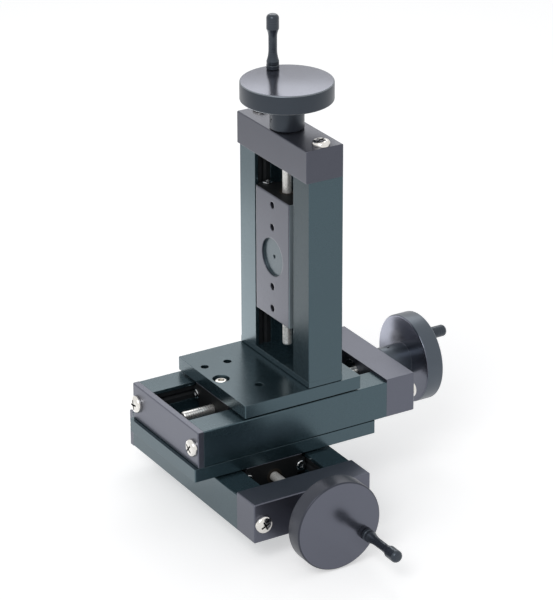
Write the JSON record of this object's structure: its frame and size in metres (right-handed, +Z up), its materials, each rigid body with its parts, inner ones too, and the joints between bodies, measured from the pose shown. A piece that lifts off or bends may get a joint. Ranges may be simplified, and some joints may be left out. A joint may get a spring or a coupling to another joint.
{
  "type": "linear translation stage",
  "caption": "Manual XYZ stage: identical crossed-roller slides stacked at right angles, each moved by a lead screw turned by a handwheel with a revolving handle.",
  "frame": {"origin": "middle of the lowest channel, on its underside", "axes": "+Z up, out of the base; +X along the middle slide's travel, towards its handwheel; -Y along the lower slide's travel, towards its handwheel"},
  "size_m": [0.1738, 0.1738, 0.2345],
  "materials": {
    "teal_anodised": "black anodised with a slate-teal cast, semi-gloss",
    "dark_anodised": "black anodised with a purple-grey cast, semi-gloss",
    "wheel_anodised": "turned, black anodised, glossy",
    "black_screw": "blackened steel",
    "bright_screw": "bright machined steel",
    "bearing_steel": "polished steel",
    "rail_steel": "ground steel",
    "lead_screw_steel": "rolled thread, lightly oiled",
    "handle_steel": "blackened steel",
    "bronze": "machined bronze",
    "brass_cage": "stamped brass"
  },
  "bodies": {
    "lower_base": {"lower_channel": "teal_anodised", "lower_end_plate": "dark_anodised", "lower_end_plate_screws": "black_screw", "lower_drive_block": "dark_anodised", "lower_drive_block_screws": "black_screw", "lower_screw_bearings": "bearing_steel", "lower_base_rails": "rail_steel"},
    "lower_saddle": {"lower_carriage": "dark_anodised", "lower_carriage_rails": "rail_steel", "lower_rail_stop_screws": "bright_screw", "lower_lead_nut": "bronze", "lower_plate": "teal_anodised", "lower_plate_screws": "bright_screw", "middle_base_screws": "black_screw", "middle_channel": "teal_anodised", "middle_end_plate": "dark_anodised", "middle_end_plate_screws": "black_screw", "middle_drive_block": "dark_anodised", "middle_drive_block_screws": "black_screw", "middle_screw_bearings": "bearing_steel", "middle_base_rails": "rail_steel"},
    "middle_saddle": {"middle_carriage": "dark_anodised", "middle_carriage_rails": "rail_steel", "middle_rail_stop_screws": "bright_screw", "middle_lead_nut": "bronze", "upper_plate": "teal_anodised", "upper_plate_screws": "bright_screw", "column_screws": "black_screw", "upright_channel": "teal_anodised", "upright_end_plate": "dark_anodised", "upright_drive_block": "dark_anodised", "upright_drive_block_screws": "black_screw", "upright_screw_bearings": "bearing_steel", "upright_base_rails": "rail_steel"},
    "upright_saddle": {"upright_carriage": "dark_anodised", "upright_carriage_rails": "rail_steel", "upright_rail_stop_screws": "bright_screw", "upright_lead_nut": "bronze"},
    "lower_screw": {"lower_lead_screw": "lead_screw_steel", "lower_handwheel": "wheel_anodised", "lower_wheel_set_screw": "black_screw", "lower_handle_pin": "handle_steel"},
    "lower_handle": {"lower_crank_handle": "wheel_anodised"},
    "lower_cages": {"lower_roller_cages": "brass_cage", "lower_rollers": "rail_steel"},
    "middle_screw": {"middle_lead_screw": "lead_screw_steel", "middle_handwheel": "wheel_anodised", "middle_wheel_set_screw": "black_screw", "middle_handle_pin": "handle_steel"},
    "middle_handle": {"middle_crank_handle": "wheel_anodised"},
    "middle_cages": {"middle_roller_cages": "brass_cage", "middle_rollers": "rail_steel"},
    "upright_screw": {"upright_lead_screw": "lead_screw_steel", "upright_handwheel": "wheel_anodised", "upright_wheel_set_screw": "black_screw", "upright_handle_pin": "handle_steel"},
    "upright_handle": {"upright_crank_handle": "wheel_anodised"},
    "upright_cages": {"upright_roller_cages": "brass_cage", "upright_rollers": "rail_steel"}
  },
  "joints": [
    {"name": "lower_screw_turn", "type": "hinge", "parent": "lower_base", "child": "lower_screw", "pos_m": [0, -0.067, 0.0113], "axis": [0, -1, 0], "range_deg": [-5032, 5032]},
    {"name": "lower_travel", "type": "slide", "parent": "lower_base", "child": "lower_saddle", "axis": [0, -1, 0], "range_m": [-0.01775, 0.01775]},
    {"name": "lower_cage", "type": "slide", "parent": "lower_base", "child": "lower_cages", "axis": [0, -1, 0], "range_m": [-0.00887, 0.00887]},
    {"name": "lower_handle_spin", "type": "hinge", "parent": "lower_screw", "child": "lower_handle", "pos_m": [0.01491, -0.1, 0.00314], "axis": [0, -1, 0], "continuous": true},
    {"name": "middle_screw_turn", "type": "hinge", "parent": "lower_saddle", "child": "middle_screw", "pos_m": [0.0796, 0, 0.0375], "axis": [1, 0, 0], "range_deg": [-4026, 6038]},
    {"name": "middle_travel", "type": "slide", "parent": "lower_saddle", "child": "middle_saddle", "axis": [1, 0, 0], "range_m": [-0.0213, 0.0142]},
    {"name": "middle_cage", "type": "slide", "parent": "lower_saddle", "child": "middle_cages", "axis": [1, 0, 0], "range_m": [-0.01065, 0.0071]},
    {"name": "middle_handle_spin", "type": "hinge", "parent": "middle_screw", "child": "middle_handle", "pos_m": [0.1126, 0.017, 0.03774], "axis": [1, 0, 0], "continuous": true},
    {"name": "upright_screw_turn", "type": "hinge", "parent": "middle_saddle", "child": "upright_screw", "pos_m": [0.0266, 0, 0.1734], "axis": [0, 0, 1], "range_deg": [-4267, 5797]},
    {"name": "upright_travel", "type": "slide", "parent": "middle_saddle", "child": "upright_saddle", "axis": [0, 0, 1], "range_m": [-0.02045, 0.01505]},
    {"name": "upright_cage", "type": "slide", "parent": "middle_saddle", "child": "upright_cages", "axis": [0, 0, 1], "range_m": [-0.01022, 0.00752]},
    {"name": "upright_handle_spin", "type": "hinge", "parent": "upright_screw", "child": "upright_handle", "pos_m": [0.02902, 0.01683, 0.2064], "axis": [0, 0, 1], "continuous": true}
  ],
  "couplings": [
    {"joint": "lower_screw_turn", "follows": "lower_travel", "rad_per_m": -4947.4},
    {"joint": "lower_cage", "follows": "lower_travel", "ratio": 0.5},
    {"joint": "middle_screw_turn", "follows": "middle_travel", "rad_per_m": -4947.4},
    {"joint": "middle_cage", "follows": "middle_travel", "ratio": 0.5},
    {"joint": "upright_screw_turn", "follows": "upright_travel", "rad_per_m": -4947.4},
    {"joint": "upright_cage", "follows": "upright_travel", "ratio": 0.5}
  ]
}
